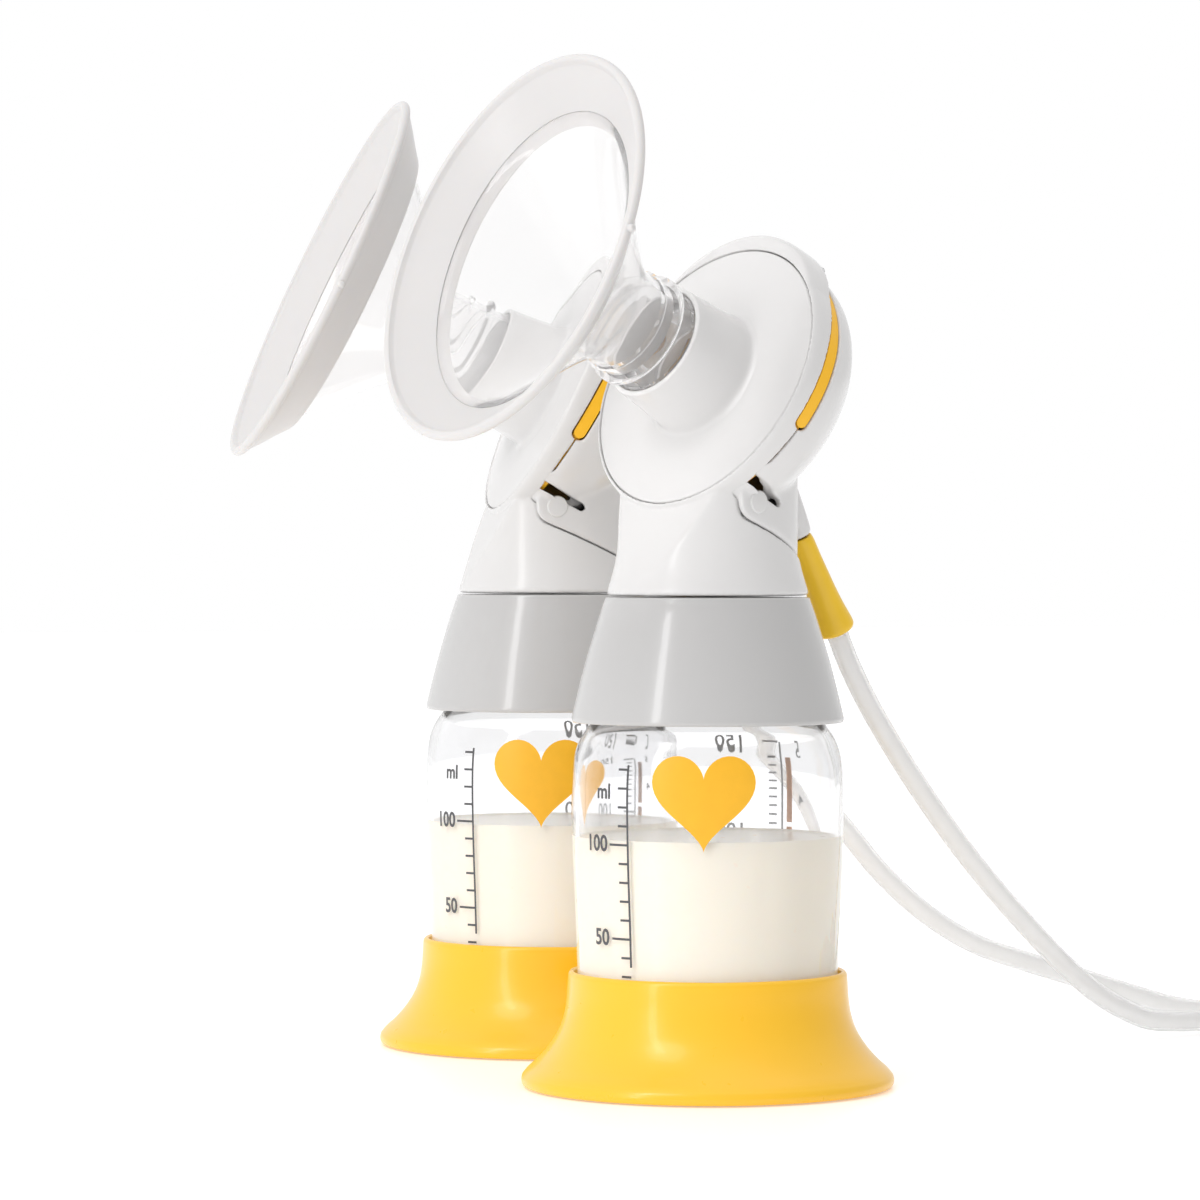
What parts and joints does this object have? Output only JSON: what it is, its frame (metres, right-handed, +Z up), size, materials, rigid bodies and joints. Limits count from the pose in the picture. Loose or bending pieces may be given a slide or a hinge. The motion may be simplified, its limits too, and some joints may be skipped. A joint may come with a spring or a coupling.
{
  "type": "breast pump",
  "caption": "Breast pump collection set: soft-rimmed shields on white heads, milk bottles on flared stands, and coiled air tubes with plugs.",
  "frame": {"origin": "on the floor under the middle of the two units' bounding box, their tubes left out", "axes": "+Z up, +X from the left unit to the right one, -Y the way the shields face"},
  "size_m": [0.1954, 0.3476, 0.2261],
  "materials": {
    "yellow_plastic": "satin",
    "clear_plastic": "clear, glossy",
    "milk": "liquid",
    "grey_plastic": "satin",
    "white_plastic": "glossy",
    "soft_rim": "soft, satin",
    "frosted_plastic": "frosted",
    "yellow_silicone": "matt",
    "yellow_rubber": "satin",
    "clear_tubing": "clear, glossy"
  },
  "bodies": {
    "pump_heads": {"right_collar": "grey_plastic", "right_valve_seat": "white_plastic", "right_housing": "white_plastic", "right_face_plate": "white_plastic", "right_membrane": "yellow_silicone", "right_tube": "clear_tubing", "right_tube_coil": "clear_tubing", "right_pump_plug": "yellow_rubber", "left_collar": "grey_plastic", "left_valve_seat": "white_plastic", "left_housing": "white_plastic", "left_face_plate": "white_plastic", "left_membrane": "yellow_silicone", "left_tube": "clear_tubing", "left_tube_coil": "clear_tubing", "left_pump_plug": "yellow_rubber"},
    "right_bottle": {"right_bottle": "clear_plastic", "right_milk": "milk"},
    "right_stand": {"right_stand": "yellow_plastic"},
    "right_shield": {"right_shield_funnel": "clear_plastic", "right_shield_rim": "soft_rim"},
    "right_cover": {"right_cover": "white_plastic"},
    "right_tube_adapter": {"right_tube_adapter": "yellow_rubber"},
    "right_latch_tab": {"right_latch_tab": "frosted_plastic"},
    "right_valve_flap": {"right_valve_flap": "yellow_silicone"},
    "left_bottle": {"left_bottle": "clear_plastic", "left_milk": "milk"},
    "left_stand": {"left_stand": "yellow_plastic"},
    "left_shield": {"left_shield_funnel": "clear_plastic", "left_shield_rim": "soft_rim"},
    "left_cover": {"left_cover": "white_plastic"},
    "left_tube_adapter": {"left_tube_adapter": "yellow_rubber"},
    "left_latch_tab": {"left_latch_tab": "frosted_plastic"},
    "left_valve_flap": {"left_valve_flap": "yellow_silicone"}
  },
  "joints": [
    {"name": "right_bottle_screw", "type": "hinge", "parent": "pump_heads", "child": "right_bottle", "pos_m": [0.04253, 0.01687, 0], "axis": [0, 0, -1], "range_deg": [0, 360]},
    {"name": "right_stand_lift", "type": "slide", "parent": "right_bottle", "child": "right_stand", "axis": [0, 0, -1], "range_m": [0, 0.03]},
    {"name": "right_shield_turn", "type": "hinge", "parent": "pump_heads", "child": "right_shield", "pos_m": [0.0429, 0.01583, 0.1575], "axis": [0.3048, -0.8512, 0.4274], "continuous": true},
    {"name": "right_cover_pull", "type": "slide", "parent": "pump_heads", "child": "right_cover", "axis": [-0.3371, 0.9415, 0], "range_m": [0, 0.014], "deforming": ["right_tube"]},
    {"name": "right_adapter_pull", "type": "slide", "parent": "right_cover", "child": "right_tube_adapter", "axis": [-0.1589, 0.4439, -0.8819], "range_m": [0, 0.008], "deforming": ["right_tube"]},
    {"name": "right_latch_press", "type": "hinge", "parent": "right_cover", "child": "right_latch_tab", "pos_m": [0.03298, 0.04353, 0.17931], "axis": [-0.9415, -0.3371, 0], "range_deg": [0, 8], "stiffness_Nm_per_rad": 0.05},
    {"name": "right_valve_open", "type": "hinge", "parent": "pump_heads", "child": "right_valve_flap", "pos_m": [0.03997, 0.02403, 0.0967], "axis": [0.9415, 0.3371, 0], "range_deg": [0, 25], "stiffness_Nm_per_rad": 0.002, "springref_deg": -2.86},
    {"name": "left_bottle_screw", "type": "hinge", "parent": "pump_heads", "child": "left_bottle", "pos_m": [-0.05347, 0.01687, 0], "axis": [0, 0, -1], "range_deg": [0, 360]},
    {"name": "left_stand_lift", "type": "slide", "parent": "left_bottle", "child": "left_stand", "axis": [0, 0, -1], "range_m": [0, 0.03]},
    {"name": "left_shield_turn", "type": "hinge", "parent": "pump_heads", "child": "left_shield", "pos_m": [-0.05362, 0.01578, 0.1575], "axis": [-0.1227, -0.8957, 0.4274], "continuous": true},
    {"name": "left_cover_pull", "type": "slide", "parent": "pump_heads", "child": "left_cover", "axis": [0.1357, 0.9907, 0], "range_m": [0, 0.014], "deforming": ["left_tube"]},
    {"name": "left_adapter_pull", "type": "slide", "parent": "left_cover", "child": "left_tube_adapter", "axis": [0.064, 0.4671, -0.8819], "range_m": [0, 0.008], "deforming": ["left_tube"]},
    {"name": "left_latch_press", "type": "hinge", "parent": "left_cover", "child": "left_latch_tab", "pos_m": [-0.04963, 0.04493, 0.17931], "axis": [-0.9907, 0.1357, 0], "range_deg": [0, 8], "stiffness_Nm_per_rad": 0.05},
    {"name": "left_valve_open", "type": "hinge", "parent": "pump_heads", "child": "left_valve_flap", "pos_m": [-0.05244, 0.0244, 0.0967], "axis": [0.9907, -0.1357, 0], "range_deg": [0, 25], "stiffness_Nm_per_rad": 0.002, "springref_deg": -2.86}
  ]
}
